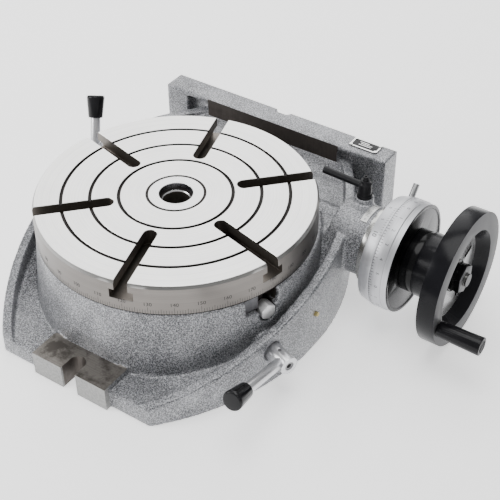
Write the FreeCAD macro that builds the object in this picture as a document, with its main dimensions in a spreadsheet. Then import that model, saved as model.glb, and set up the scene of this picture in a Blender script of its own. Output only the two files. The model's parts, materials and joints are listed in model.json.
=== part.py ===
import FreeCAD, Part
import math
import os
import re

from FreeCAD import Placement, Rotation, Vector

# A 250 mm rotary table driven by a worm: a cast base with a vertical mounting plate, a T-slotted
# table on a spindle, a 90-tooth worm wheel under it, and a worm in an eccentric sleeve with a
# graduated dial and a handwheel. Two levers clamp the table and one locks the sleeve.
# Frame: origin on the table's axis at the bottom of the base, +Z up, +Y towards the mounting
# plate, +X towards the handwheel. Millimetres and degrees.

SIZES = {
    # table
    "table_radius": 125, "table_top": 111.3, "way_height": 82, "way_gap": 0.03,
    "relief_top": 84.5, "relief_outer": 97, "seat_radius": 66, "seat_height": 72.8,
    "register_radius": 48, "register_depth": 4, "register_bore": 43.5,
    "edge_chamfer": 1.6, "edge_chamfer_height": 3,
    "slot_throat": 12, "slot_width": 21, "throat_depth": 9.5, "slot_depth": 18,
    "slot_inner": 60.5, "slot_angle": -14,
    "ring_pitch": 25, "ring_width": 2.8, "ring_depth": 1.6,
    "sleeve_outer": 25.4, "joint_bevel": 0.9, "sleeve_bottom": 41, "centre_bore": 15, "centre_bore_depth": 6,
    "taper_large": 11.9125, "taper_rate": 0.050196, "draw_bore": 20,
    "spindle_radius": 34, "spindle_thread": 30, "spindle_shoulder": 20, "spindle_bottom": 6,
    "hook_inner": 105, "hook_throat": 110, "hook_outer": 115.5,
    "hook_ledge": 86.5, "hook_roof": 90,
    # base casting
    "base_front": 152, "arc_radius": 227.6, "arc_offset": 84.6, "arc_y": 5,
    "flange_height": 14, "floor_height": 17, "floor_start": 120, "floor_slope": 0.25,
    "rim_height": 19, "knee_y": -20, "knee_height": 61.9, "crest_y": 78, "crest_height": 87.5,
    "wall_thickness": 9, "deck_start": 40, "deck_full": 60, "deck_height": 80,
    "drum_foot": 132.5, "lip_shift": 2.6, "plate_front": 150, "plate_rear": 173.3, "plate_half": 125,
    "plate_top": 103.5, "face_half": 74.3, "plate_pocket_depth": 9, "end_web": 13,
    "plate_flange": 5, "plate_root": 160,
    "lug_half": 39.8, "lug_front": 157.2, "lug_height": 23.4, "lug_step": 128,
    "bolt_slot": 15, "bolt_slot_depth": 12.2, "end_slot_z": 26, "end_slot_depth": 14,
    "foot_height": 16, "key_width": 14, "key_depth": 4, "key_bottom": 48,
    "hub_radius": 54, "cavity_outer": 98, "cavity_height": 38, "chamber_floor": 50,
    "chamber_radius": 79.8, "chamber_hub": 42, "chamber_hub_top": 68,
    "spindle_bore": 34.03, "nut_recess": 40, "nut_recess_top": 18,
    "cover_radius": 51, "cover_thickness": 3, "cover_recess": 3.5, "cover_bolt_circle": 45.5,
    # worm drive
    "worm_y": 88, "worm_z": 63.8, "wheel_teeth": 90, "module": 1.7, "worm_pitch_radius": 11.5,
    "backlash": 0.3, "flank_angle": 20, "wheel_width": 18, "wheel_bolt_circle": 57,
    "thread_half": 24, "swing_radius": 2.6, "swing_start": 60,
    "sleeve_radius": 18, "sleeve_bore": 13.6, "sleeve_inner_end": -72, "boss_end": 152.3,
    "boss_start": 118, "boss_radius": 32.3, "sleeve_flange": 36, "flange_end": 162.4, "fit": 0.03,
    "journal": 9, "collar_end": 174.1, "collar_small": 48.3, "collar_large": 51,
    "dial_start": 174.2, "dial_band_end": 185.4, "dial_end": 191.2, "dial_radius": 50.2,
    "dial_seat": 40, "hub_disc": 47, "spacer_end": 203, "spacer_radius": 28.3,
    "wheel_hub": 29.3, "wheel_start": 225.7, "wheel_end": 241.9, "wheel_radius": 61.7,
    "web_end": 230, "recess_small": 40, "recess_large": 45.5, "grip_circle": 53.4,
    "grip_angle": 198.3, "grip_start": 243, "grip_end": 282.4,
    # table clamps
    "clamp_angle": -20.5, "clamp_z": 34, "clamp_reach": 83, "knob_length": 22,
    "clamp_throw": 1, "clamp_lean": 22.7, "wall_face": 145.3, "clamp_hub": 8.2, "clamp_arm": 4.8,
    "knob_small": 7, "knob_large": 8.9, "clamp_screw": 6, "clamp_journal": 4, "clamp_boss": 12.5,
    "shoe_inner": 106, "shoe_outer": 118, "shoe_half": 8, "shoe_bolt_y": 6.5, "shoe_bolt_z": 63,
    # sleeve lock
    "lock_x": 132.5, "lock_y": 100, "lock_base": 100.7,
}

doc = FreeCAD.newDocument("RotaryTable")
sheet = doc.addObject("Spreadsheet::Sheet", "Sizes")
for row, (alias, size) in enumerate(SIZES.items(), start=1):
    sheet.set("A%d" % row, alias)
    sheet.set("B%d" % row, str(size))
    sheet.setAlias("B%d" % row, alias)
doc.recompute()

UP = Vector(0, 0, 1)
TURNS = {
    "z": Rotation(),
    "x": Rotation(Vector(0, 1, 0), 90),
    "y": Rotation(Vector(1, 0, 0), -90),
    "-y": Rotation(Vector(1, 0, 0), 90),
}
nodes = []


def formula(text):
    """An expression in the sheet's words, with the sheet's name put before each."""
    return re.sub(r"[a-z][a-z_]+", lambda m: ("Sizes." if m[0] in SIZES else "") + m[0], str(text))


def bind(thing, at=(), turn=None, **sizes):
    """Bind an object's sizes and position to formulas."""
    for name, text in sizes.items():
        thing.setExpression(name, formula(text))
    if turn is not None:
        thing.Placement = Placement(Vector(), turn if isinstance(turn, Rotation) else TURNS[turn])
    for letter, text in zip("xyz", at):
        thing.setExpression("Placement.Base." + letter, formula(text))
    return thing


def cylinder(radius, length, at=(0, 0, 0), turn="z"):
    thing = doc.addObject("Part::Cylinder", "Cylinder")
    return bind(thing, at, turn, Radius=radius, Height=length)


def cone(first, last, length, at=(0, 0, 0), turn="z"):
    thing = doc.addObject("Part::Cone", "Cone")
    return bind(thing, at, turn, Radius1=first, Radius2=last, Height=length)


def box(x, y, z, turn=None):
    """A block between two formulas along each axis."""
    thing = doc.addObject("Part::Box", "Box")
    spans = ["(%s) - (%s)" % (high, low) for low, high in (x, y, z)]
    return bind(thing, (x[0], y[0], z[0]), turn, Length=spans[0], Width=spans[1], Height=spans[2])


def hexagon(across_flats, length, at, turn="z"):
    thing = doc.addObject("Part::Prism", "Prism")
    thing.Polygon = 6
    radius = "(%s) / sqrt(3)" % across_flats
    return bind(thing, at, turn, Circumradius=radius, Height=length)


def sphere(radius, at):
    return bind(doc.addObject("Part::Sphere", "Sphere"), at, Radius=radius)


def fuse(*things):
    thing = doc.addObject("Part::MultiFuse", "Fuse")
    thing.Shapes = list(things)
    return thing


def weld(first, *others):
    """The same as fuse, joined one piece at a time, for castings made of many masses."""
    for other in others:
        joint = doc.addObject("Part::Fuse", "Weld")
        joint.Base = first
        joint.Tool = other
        first = joint
    return first


def cut(base, *tools):
    thing = doc.addObject("Part::Cut", "Cut")
    thing.Base = base
    thing.Tool = tools[0] if len(tools) == 1 else fuse(*tools)
    return thing


def common(*things):
    thing = doc.addObject("Part::MultiCommon", "Common")
    thing.Shapes = list(things)
    return thing


def tube(outer, inner, length, at=(0, 0, 0), turn="z"):
    return cut(cylinder(outer, length, at, turn), cylinder(inner, length, at, turn))


def turned(thing, angle):
    """A piece drawn on +X, turned about the table's axis."""
    holder = doc.addObject("Part::Compound", "Turned")
    holder.Links = [thing]
    holder.Placement = Placement(Vector(), Rotation(UP, angle))
    return holder


def around(make, count, first=0.0):
    """Copies of what make() gives, spaced evenly about the table's axis."""
    return [turned(make(), first + 360.0 * number / count) for number in range(count)]


def ramp(x, y, low, high):
    """A block on the ground whose top rises from one height to another along Y."""
    thing = doc.addObject("Part::Wedge", "Ramp")
    return bind(thing, (), None, Xmin=x[0], X2min=x[0], Xmax=x[1], X2max=x[1], Ymin=y[0],
                Ymax=y[1], Zmin=0, Z2min=0, Zmax=low, Z2max=high)


def node(name, thing):
    """Name a finished sub-part."""
    thing.Label = name
    nodes.append(thing)
    return thing


def solid(name, shape):
    """A sub-part whose shape comes straight from geometry functions."""
    thing = doc.addObject("Part::Feature", "Solid")
    thing.Shape = shape
    return node(name, thing)


# ---------------------------------------------------------------- base casting

def outline(inset, height, rear):
    """The base's plan: two large arcs that meet the plate, cut off straight at the front."""
    radius = "arc_radius - (%s)" % inset
    right = cylinder(radius, height, ("-arc_offset", "arc_y", 0))
    left = cylinder(radius, height, ("arc_offset", "arc_y", 0))
    return common(right, left, box((-160, 160), ("-base_front", rear), (0, height)))


def clamp_pocket():
    """Room in the drum for one clamp shoe, drawn on +X: channel, window and screw bore."""
    start = "shoe_inner - 0.1"
    above_drum = "way_height + 2"
    channel = box((start, "shoe_outer + 0.1"), ("-shoe_half - 0.1", "shoe_half + 0.1"),
                  (24.5, above_drum))
    jaw = box((start, 140), (-14.6, 9), (66, above_drum))
    bolt = cylinder(8.6, 34, (start, "shoe_bolt_y", "shoe_bolt_z - 0.5"), "x")
    hollow = cylinder(9.5, 24, (112, 9, 76), "x")
    screw = cylinder("clamp_screw + fit", 40, (116, 0, "clamp_z"), "x")
    counterbore = cylinder("clamp_hub + 1.5", 20, ("wall_face - 3", 0, "clamp_z"), "x")
    return fuse(channel, jaw, bolt, hollow, screw, counterbore)


def base_casting():
    wide = (-160, 160)
    floor_top = "floor_height + floor_slope * (floor_start + plate_front)"
    full = outline(0, "crest_height", "plate_root")
    slope = fuse(ramp(wide, ("-base_front", "knee_y"), "rim_height", "knee_height"),
                 ramp(wide, ("knee_y", "crest_y"), "knee_height", "crest_height"),
                 box(wide, ("crest_y", "plate_root"), (0, "crest_height")))
    wall = common(cut(full, outline("wall_thickness", "crest_height", "plate_root")), slope)
    flange = outline(0, "flange_height", "plate_root")
    floor = common(outline("wall_thickness / 2", "plate_top", "plate_root"), fuse(
        box(wide, ("-base_front + 1", "-floor_start"), (0, "floor_height")),
        ramp(wide, ("-floor_start", "plate_front"), "floor_height", floor_top)))
    deck_foot = "floor_height + floor_slope * (floor_start + deck_start)"
    deck = common(outline("wall_thickness / 2", "plate_top", "plate_root"), fuse(
        ramp(wide, ("deck_start", "deck_full"), deck_foot, "deck_height"),
        box(wide, ("deck_full", "plate_root"), (0, "deck_height"))))
    drum = fuse(cone("drum_foot", "table_radius", "way_height"),
                cone("drum_foot", "table_radius", "way_height", ("lip_shift", "lip_shift / 3", 0)))
    blank = box(("-plate_half", "plate_half"), ("plate_front", "plate_rear"), (0, "plate_top"))
    pocket_y = ("plate_front - 1", "plate_front + plate_pocket_depth")
    pocket_z = ("deck_height - 20", "plate_top - plate_flange")
    plate = cut(blank, box(("face_half", "plate_half - end_web"), pocket_y, pocket_z),
                box(("-plate_half + 2 * end_web", "-face_half"), pocket_y, pocket_z))
    lug = box(("-lug_half", "lug_half"), ("-lug_front", -115), (0, "lug_height"))
    housing = cylinder("boss_radius", "boss_end", (0, "worm_y", "worm_z"), "x")
    neck = common(housing, box((0, "boss_end"), (40, 140), (0, "deck_height")))
    boss = cylinder("boss_radius", "boss_end - boss_start", ("boss_start", "worm_y", "worm_z"),
                    "x")
    saddle = cylinder("sleeve_radius + 2.6", "boss_start - 84", (85, SLEEVE[0], SLEEVE[1]), "x")
    lock_pad = cylinder(8.6, "lock_base - worm_z", ("lock_x", "lock_y", "worm_z"))
    screw_bosses = around(lambda: cylinder("clamp_boss", 34, (108, 0, "clamp_z"), "x"), 2,
                          SIZES["clamp_angle"])
    metal = weld(flange, floor, wall, deck, drum, plate, lug, neck, boss, saddle, lock_pad,
                 *screw_bosses)

    table_room = cylinder("table_radius + 1.2", 60, (0, 0, "way_height"))
    chamber = cut(cylinder("chamber_radius", 40, (0, 0, "chamber_floor")),
                  cylinder("chamber_hub", "chamber_hub_top - chamber_floor",
                           (0, 0, "chamber_floor")))
    bore = cylinder("spindle_bore", 60, (0, 0, 12))
    nut_room = cylinder("nut_recess", "nut_recess_top + 5", (0, 0, -5))
    cover_room = cylinder("cover_radius + fit", "cover_recess + 5", (0, 0, -5))
    cover_holes = around(lambda: cylinder(2, 16, ("cover_bolt_circle", 0, -1)), 4, 45)
    cavity = tube("cavity_outer", "hub_radius", "cavity_height + 5", (0, 0, -5))
    sleeve_bore = cylinder("sleeve_radius + fit", "boss_end - sleeve_inner_end + 12",
                           ("sleeve_inner_end - 2", SLEEVE[0], SLEEVE[1]), "x")
    clamps = around(clamp_pocket, 2, SIZES["clamp_angle"])
    key = box(("-key_width / 2", "key_width / 2"), ("plate_rear - key_depth", 200),
              ("key_bottom", 120))
    foot = box((-20, 20), ("plate_front + 4", 200), ("foot_height", 44))
    foot_slot = fuse(box(("-bolt_slot / 2", "bolt_slot / 2"), ("plate_rear - 12", 200),
                         (-1, "foot_height + 1")),
                     cylinder("bolt_slot / 2", "foot_height + 2", (0, "plate_rear - 12", -1)))
    end_z = ("end_slot_z - bolt_slot / 2", "end_slot_z + bolt_slot / 2")
    end_slots = [
        fuse(box(span, ("plate_front - 1", 200), end_z),
             cylinder("bolt_slot / 2", 60, (centre, "plate_front - 1", "end_slot_z"), "y"))
        for span, centre in ((("plate_half - end_slot_depth", 200), "plate_half - end_slot_depth"),
                             ((-200, "end_slot_depth - plate_half"),
                              "end_slot_depth - plate_half"))]
    slot_y = "bolt_slot_depth - lug_front"
    lug_face = box(("-lug_half - 5", "lug_half + 5"), (-160, "-lug_step"), ("lug_height", 40))
    lug_slot = fuse(box(("-bolt_slot / 2", "bolt_slot / 2"), (-200, slot_y), (-1, 40)),
                    cylinder("bolt_slot / 2", 41, (0, slot_y, -1)))
    lock_bore = cylinder("4 + fit", 60, ("lock_x", "lock_y", "worm_z"))
    oil_holes = [cylinder(2.1, 8, at, turn) for at, turn in OILERS]
    rivet_holes = [cylinder(0.9, 6, (x, y, "plate_top - 4")) for x, y in plate_rivet_places()]
    zero_holes = [cylinder(0.8, 5, at, turn) for at, turn in zero_rivet_places()]
    hollows = fuse(table_room, chamber, bore, nut_room, cover_room, cavity, sleeve_bore, key, foot,
                   foot_slot, lug_face, lug_slot, lock_bore, *cover_holes, *clamps, *end_slots,
                   *oil_holes, *rivet_holes, *zero_holes)
    node("base_casting", cut(metal, hollows))


SLEEVE = ("worm_y + swing_radius * cos(swing_start)", "worm_z - swing_radius * sin(swing_start)")
OILERS = (((137.5, 4.5, 38), "x"), ((-137.5 - 8, 4.5, 38), "x"))


NAME_PLATE_CENTRE = (96.5, 164.4)
NAME_PLATE_HALF = (14.5, 7)


def plate_rivet_places():
    """The name plate's four rivets, from its centre on top of the mounting plate."""
    x, y = NAME_PLATE_CENTRE
    return [(x + side * 12.6, y + end * 5.4) for side in (-1, 1) for end in (-1, 1)]


def zero_rivet_places():
    """Two rivets of the curved zero plate, drilled towards the worm's axis."""
    places = []
    for angle in (72, 108):
        out = Vector(0, math.cos(math.radians(angle)), math.sin(math.radians(angle)))
        start = Vector(145.6, SIZES["worm_y"], SIZES["worm_z"]) + out * (SIZES["boss_radius"] - 4)
        places.append((tuple(start), Rotation(UP, out)))
    return places


# ---------------------------------------------------------------- table, spindle and wheel

def table_slot():
    """One T-slot with round inner ends, drawn along +X."""
    throat_z = "table_top - throat_depth"
    throat = fuse(box(("slot_inner", 140), ("-slot_throat / 2", "slot_throat / 2"),
                      (throat_z, 120)),
                  cylinder("slot_throat / 2", 30, ("slot_inner", 0, throat_z)))
    under = fuse(box(("slot_inner", 140), ("-slot_width / 2", "slot_width / 2"),
                     ("table_top - slot_depth", throat_z)),
                 cylinder("slot_width / 2", "slot_depth - throat_depth",
                          ("slot_inner", 0, "table_top - slot_depth")))
    return fuse(throat, under)


def clamp_groove():
    """The hooked ring groove in the underside of the rim, with one wide place for entry."""
    bottom = "way_height - 1"
    throat = tube("hook_outer", "hook_throat", "hook_roof - way_height + 1", (0, 0, bottom))
    under = tube("hook_outer", "hook_inner", "hook_roof - hook_ledge", (0, 0, "hook_ledge"))
    whole = tube("hook_outer", "hook_inner", "hook_roof - way_height + 1", (0, 0, bottom))
    entry = common(whole, box((90, 120), (-11, 11), (80, 95)))
    return fuse(throat, under, turned(entry, 76))


def table_disc():
    bottom = "way_height + way_gap"
    shoulder = "table_top - edge_chamfer_height"
    rim = cylinder("table_radius", "%s - (%s)" % (shoulder, bottom), (0, 0, bottom))
    edge = cone("table_radius", "table_radius - edge_chamfer", "edge_chamfer_height",
                (0, 0, shoulder))
    seat = cylinder("seat_radius", "relief_top + 2 - seat_height", (0, 0, "seat_height"))
    register = cylinder("register_radius", "register_depth + 1",
                        (0, 0, "seat_height - register_depth"))
    spindle = cylinder("spindle_radius", "relief_top + 5 - spindle_shoulder",
                       (0, 0, "spindle_shoulder"))
    nose = cylinder("spindle_thread", "spindle_shoulder - spindle_bottom + 1",
                    (0, 0, "spindle_bottom"))
    relief = tube("relief_outer", "seat_radius", "relief_top - way_height + 1",
                  (0, 0, "way_height - 1"))
    journal_gap = tube("register_bore", "spindle_radius", 20, (0, 0, "relief_top - 20"))
    bores = (cylinder("sleeve_outer", 80, (0, 0, "sleeve_bottom")),
             cylinder("draw_bore", 60, (0, 0, 0)),
             cone("sleeve_outer", "sleeve_outer + joint_bevel", "joint_bevel",
                  (0, 0, "table_top - joint_bevel")))
    rings = [tube("ring_pitch * %d + ring_width / 2" % step,
                  "ring_pitch * %d - ring_width / 2" % step, 5, (0, 0, "table_top - ring_depth"))
             for step in (2, 3, 4)]
    slots = around(table_slot, 6, SIZES["slot_angle"])
    screw_holes = around(lambda: cylinder(3, 24, ("wheel_bolt_circle", 0, 70)), 6, 16)
    body = fuse(rim, edge, seat, register, spindle, nose)
    return node("table_disc", cut(body, relief, journal_gap, *bores, *rings, *slots,
                                  *screw_holes, clamp_groove()))


def table_fittings():
    """The taper sleeve, the wheel's screws, and the nut and washer that hold the spindle down."""
    length = "table_top - sleeve_bottom - 0.05"
    sleeve = cylinder("sleeve_outer", length, (0, 0, "sleeve_bottom + 0.05"))
    small = "taper_large - (table_top - centre_bore_depth - sleeve_bottom) * taper_rate / 2"
    taper = cone(small, "taper_large", "table_top - centre_bore_depth - sleeve_bottom",
                 (0, 0, "sleeve_bottom"))
    lead = cone("taper_large - 0.1", "taper_large + 1.2", 1.4,
                (0, 0, "table_top - centre_bore_depth - 1.3"))
    counterbore = cylinder("centre_bore", 10, (0, 0, "table_top - centre_bore_depth"))
    edge = cut(cylinder("sleeve_outer + 1", "joint_bevel", (0, 0, "table_top - joint_bevel")),
               cone("sleeve_outer", "sleeve_outer - joint_bevel", "joint_bevel",
                    (0, 0, "table_top - joint_bevel")))
    node("centre_sleeve", cut(sleeve, taper, lead, counterbore, edge))

    head_z = "seat_height - wheel_width + 0.3"
    screw = lambda: cut(fuse(cylinder(2.98, 34, ("wheel_bolt_circle", 0, head_z)),
                             cylinder(5, 6, ("wheel_bolt_circle", 0, head_z))),
                        hexagon(5, 3, ("wheel_bolt_circle", 0, "(%s) - 0.1" % head_z)))
    node("wheel_screws", fuse(*around(screw, 6, 16)))

    nut = tube("nut_recess - 2", "spindle_thread", 9, (0, 0, 7))
    notches = around(lambda: box((35, 40), (-3, 3), (6, 17)), 4)
    lock_hole = cylinder(2, 5, ("nut_recess - 6", 0, 6))
    node("spindle_nut", cut(nut, *notches, turned(lock_hole, 45)))
    node("nut_lock_screw", turned(cylinder(2, 4.5, ("nut_recess - 6", 0, 6.2)), 45))
    node("thrust_washer", tube("nut_recess - 1", "spindle_thread + 0.02",
                               "nut_recess_top - 16 - way_gap", (0, 0, 16)))


def worm_wheel():
    """The 90-tooth wheel: straight flanked spaces, tilted to the worm's lead."""
    module = SIZES["module"]
    pitch = math.pi * module
    pitch_radius = module * SIZES["wheel_teeth"] / 2
    tip = pitch_radius + module
    root = pitch_radius - 1.2 * module
    width = SIZES["wheel_width"]
    slope = math.tan(math.radians(SIZES["flank_angle"]))
    lead = math.degrees(math.atan(module / (2 * SIZES["worm_pitch_radius"])))

    def half_space(radius):
        return pitch / 4 + SIZES["backlash"] / 4 + (radius - pitch_radius) * slope

    outer = tip + 1
    corners = [Vector(-half_space(root), root, 0), Vector(half_space(root), root, 0),
               Vector(half_space(outer), outer, 0), Vector(-half_space(outer), outer, 0)]
    face = Part.Face(Part.makePolygon(corners + corners[:1]))
    face.translate(Vector(0, 0, -width))
    space = face.extrude(Vector(0, 0, 2 * width))
    space.rotate(Vector(), Vector(0, 1, 0), -lead)
    spaces = []
    for number in range(SIZES["wheel_teeth"]):
        copy = space.copy()
        copy.rotate(Vector(), UP, number * 360 / SIZES["wheel_teeth"])
        spaces.append(copy)
    low = Vector(0, 0, -width / 2)
    blank = Part.makeCylinder(tip, width, low)
    blank = blank.cut(Part.makeCylinder(SIZES["register_radius"], width, low))
    holes = []
    for number in range(6):
        angle = math.radians(16 + 60 * number)
        centre = Vector(math.cos(angle), math.sin(angle), 0) * SIZES["wheel_bolt_circle"]
        holes.append(Part.makeCylinder(3, width, centre + low))
        holes.append(Part.makeCylinder(5.2, 6.3, centre + low))
    wheel = blank.cut(spaces).cut(holes)
    wheel.translate(Vector(0, 0, SIZES["seat_height"] - width / 2))
    return solid("worm_wheel", wheel)


# ---------------------------------------------------------------- worm, sleeve and dial

def on_worm(length, start, radius):
    """A cylinder on the worm's axis."""
    return cylinder(radius, length, (start, "worm_y", "worm_z"), "x")


def ring_on_worm(outer, inner, start, end):
    length = "(%s) - (%s)" % (end, start)
    return cut(on_worm(length, start, outer), on_worm(length, start, inner))


def worm_thread():
    """The worm's thread about its own +Z, cut off square at both ends."""
    module = SIZES["module"]
    pitch = math.pi * module
    middle = SIZES["worm_pitch_radius"]
    tip = middle + module
    root = middle - 1.2 * module
    slope = math.tan(math.radians(SIZES["flank_angle"]))
    inner = root - 0.3
    start = -5.75 * pitch

    def half_ridge(radius):
        return pitch / 4 - SIZES["backlash"] / 4 - (radius - middle) * slope

    corners = [Vector(inner, 0, start - half_ridge(inner)), Vector(tip, 0, start - half_ridge(tip)),
               Vector(tip, 0, start + half_ridge(tip)), Vector(inner, 0, start + half_ridge(inner))]
    helix = Part.makeHelix(pitch, 11.5 * pitch, middle)
    helix.translate(Vector(0, 0, start))
    profile = Part.makePolygon(corners + corners[:1])
    ridge = Part.Wire(helix.Edges).makePipeShell([profile], True, True)
    half = SIZES["thread_half"]
    low = Vector(0, 0, -half)
    return ridge.common(Part.makeCylinder(tip + 1, 2 * half, low)).fuse(
        Part.makeCylinder(root, 2 * half, low))


KEY_SPAN = (207, 225)


def worm_shaft():
    """Worm, journals, shoulders and the stepped drive end in one piece of steel."""
    shaft = worm_thread()
    journal = SIZES["journal"]
    half = SIZES["thread_half"]
    steps = [(7, -71, -59.9), (journal, -60, -half), (12.5, -29.95, -26), (12.5, 26, 29.95),
             (journal, half, SIZES["spacer_end"]), (8, SIZES["spacer_end"] - 1, SIZES["web_end"]),
             (6, SIZES["web_end"] - 1, 243.5)]
    for radius, start, end in steps:
        shaft = shaft.fuse(Part.makeCylinder(radius, end - start, Vector(0, 0, start)))
    key_low, key_high = KEY_SPAN
    keyway = Part.makeBox(5, 5.02, key_high - key_low + 0.02, Vector(-10.5, -2.51, key_low - 0.01))
    shaft = shaft.cut(keyway)
    shaft.rotate(Vector(), Vector(0, 1, 0), 90)
    shaft.translate(Vector(0, SIZES["worm_y"], SIZES["worm_z"]))
    return solid("worm_shaft", shaft)


def worm_sleeve():
    """The eccentric sleeve: it turns in the base and swings the worm out of mesh."""
    body = cylinder("sleeve_radius", "boss_end - sleeve_inner_end + 1",
                    ("sleeve_inner_end", SLEEVE[0], SLEEVE[1]), "x")
    flange = cylinder("sleeve_flange", "flange_end - boss_end - 0.1",
                      ("boss_end + 0.1", SLEEVE[0], SLEEVE[1]), "x")
    bore = on_worm("flange_end - sleeve_inner_end + 2", "sleeve_inner_end - 1", "sleeve_bore")
    window = [sector_block(angle) for angle in (13, -17, -47, -86)]
    holes = [on_circle(cylinder(2, 12, (150.4, 26, 0), "x"), angle) for angle in (90, 210, 330)]
    return node("eccentric_sleeve", cut(fuse(body, flange), bore, *window, *holes))


def sector_block(angle):
    """Part of the sleeve's window: a slab that reaches out from the sleeve's axis."""
    slab = box((-38, 38), (-30, 0), (-9, 9))
    holder = doc.addObject("Part::Compound", "Slab")
    holder.Links = [slab]
    holder.Placement = Placement(Vector(), Rotation(Vector(1, 0, 0), -angle))
    bind(holder, (0, SLEEVE[0], SLEEVE[1]))
    return holder


def on_circle(thing, angle):
    """A piece drawn about the X axis, turned by an angle and moved to the worm's axis."""
    holder = doc.addObject("Part::Compound", "Spoke")
    holder.Links = [thing]
    holder.Placement = Placement(Vector(), Rotation(Vector(1, 0, 0), angle))
    return bind(holder, (0, "worm_y", "worm_z"))


def sleeve_fittings():
    bush = "sleeve_bore"
    bore = "journal + fit"
    node("worm_bush_left", ring_on_worm(bush, bore, -60, -30))
    node("worm_bush_right", ring_on_worm(bush, bore, 30, 60))
    node("worm_bush_outer", ring_on_worm(bush, bore, 118, 160))
    blank = cone("collar_small", "collar_large", "collar_end - flange_end",
                 ("flange_end", "worm_y", "worm_z"), "x")
    bore = on_worm(20, "flange_end - 1", "sleeve_bore + 0.4")
    screw_rooms = [on_circle(fuse(cylinder(2.2, 14, (161, 26, 0), "x"),
                                  cylinder(3.8, 6, ("collar_end - 4.4", 26, 0), "x")), angle)
                   for angle in (90, 210, 330)]
    pin_hole = on_circle(cylinder(2.85, 30, (168.4, 34, 0), "y"), 50)
    node("vernier_collar", cut(blank, bore, pin_hole, *screw_rooms))
    screws = [on_circle(cut(fuse(cylinder(2, "collar_end - 4.3 - 153", (153, 26, 0), "x"),
                                 cylinder(3.5, 3.8, ("collar_end - 4.3", 26, 0), "x")),
                            hexagon(3, 3, ("collar_end - 2.5", 26, 0), "x")), angle)
              for angle in (90, 210, 330)]
    node("collar_screws", fuse(*screws))
    node("sleeve_turn_pin", on_circle(cylinder(2.85, 28, (168.4, 34, 0), "y"), 50))


def shaft_fittings():
    """Thrust washer and lock nuts at the inner end, and everything on the drive end."""
    node("shaft_thrust_washer", ring_on_worm(11.5, 7.02, -62, -60.05))
    nuts = [cut(cylinder(11, 4, (start, "worm_y", "worm_z"), "x"),
                cylinder(7, 4, (start, "worm_y", "worm_z"), "x")) for start in (-66.1, -70.2)]
    node("shaft_lock_nuts", fuse(*nuts))

    seat = ring_on_worm("dial_seat", "journal", "dial_start + 0.2", "dial_band_end + 1.6")
    face = ring_on_worm("hub_disc", "journal", "dial_band_end + 1.5", "dial_end - 0.4")
    node("dial_hub", fuse(seat, face))
    node("drive_spacer", ring_on_worm("spacer_radius", "journal", "dial_end - 0.4", "spacer_end"))
    band = ring_on_worm("collar_large", "dial_seat + fit", "dial_start", "dial_band_end")
    lip = ring_on_worm("dial_radius", "dial_seat + fit", "dial_band_end", "dial_end")
    room = on_worm(8, "dial_band_end + 1.44", "hub_disc + 0.08")
    node("graduated_dial", cut(fuse(band, lip), room))


def handwheel():
    hub = on_worm("web_end - spacer_end", "spacer_end", "wheel_hub")
    web = on_worm("web_end - wheel_start", "wheel_start", "recess_large + 2")
    rim = on_worm("wheel_end - wheel_start", "wheel_start", "wheel_radius")
    recess = cone("recess_small", "recess_large", "wheel_end - web_end + 0.01",
                  ("web_end", "worm_y", "worm_z"), "x")
    bore = on_worm(40, "spacer_end - 1", 8)
    keyway = on_circle(box((202, 231), (-2.5, 2.5), (5, 10.5)), 0)
    slots = [on_circle(fuse(box((224, 232), (22, 31), (-2.2, 2.2)),
                            cylinder(2.2, 8, (224, 22, 0), "x"),
                            cylinder(2.2, 8, (224, 31, 0), "x")), angle)
             for angle in (20, 110, 200, 290)]
    axle_hole = on_circle(cylinder(4, 20, (225, "grip_circle", 0), "x"), SIZES["grip_angle"])
    wheel = cut(fuse(rim, hub, web), recess, bore, keyway, axle_hole, *slots)
    node("handwheel", wheel)
    node("handwheel_key", on_circle(box(KEY_SPAN, (-2.5, 2.5), (5.5, 10.5)), 0))
    node("handwheel_washer", ring_on_worm(15, 8, "web_end", "web_end + 1.5"))
    nut = cut(hexagon(24, 9, ("web_end + 1.5", "worm_y", "worm_z"), "x"),
              on_worm(12, "web_end", 6))
    node("handwheel_nut", nut)
    axle = fuse(cylinder(4, "grip_end - 1 - wheel_end + 12", ("wheel_end - 12", "grip_circle", 0),
                         "x"),
                cylinder(5.2, 2.4, ("grip_end - 2.6", "grip_circle", 0), "x"))
    slot = box(("grip_end - 1.3", "grip_end + 1"), ("grip_circle - 6", "grip_circle + 6"),
               (-0.6, 0.6))
    node("grip_axle", on_circle(cut(axle, slot), SIZES["grip_angle"]))
    sleeve = cut(cone(7.2, 8.3, "grip_end - grip_start", ("grip_start", "grip_circle", 0), "x"),
                 cylinder(4.05, 60, ("grip_start - 5", "grip_circle", 0), "x"),
                 cylinder(5.3, 4, ("grip_end - 2.7", "grip_circle", 0), "x"))
    node("grip_sleeve", on_circle(sleeve, SIZES["grip_angle"]))


# ---------------------------------------------------------------- clamps, lock and small pieces

CLAMPS = (("front", 0.0, 162.5), ("rear", 180.0, 110.0))
RELEASED = 170.0
CLAMP_SWING = 60.0
ARM_START = 7.0
KNOB_SOCKET = 12


def lever_direction(lift):
    """Which way a clamp lever points, drawn on +X: lift is its angle seen from outside."""
    lean = math.radians(SIZES["clamp_lean"])
    lift = math.radians(lift)
    return Vector(math.sin(lean), math.cos(lift) * math.cos(lean), math.sin(lift) * math.cos(lean))


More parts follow.
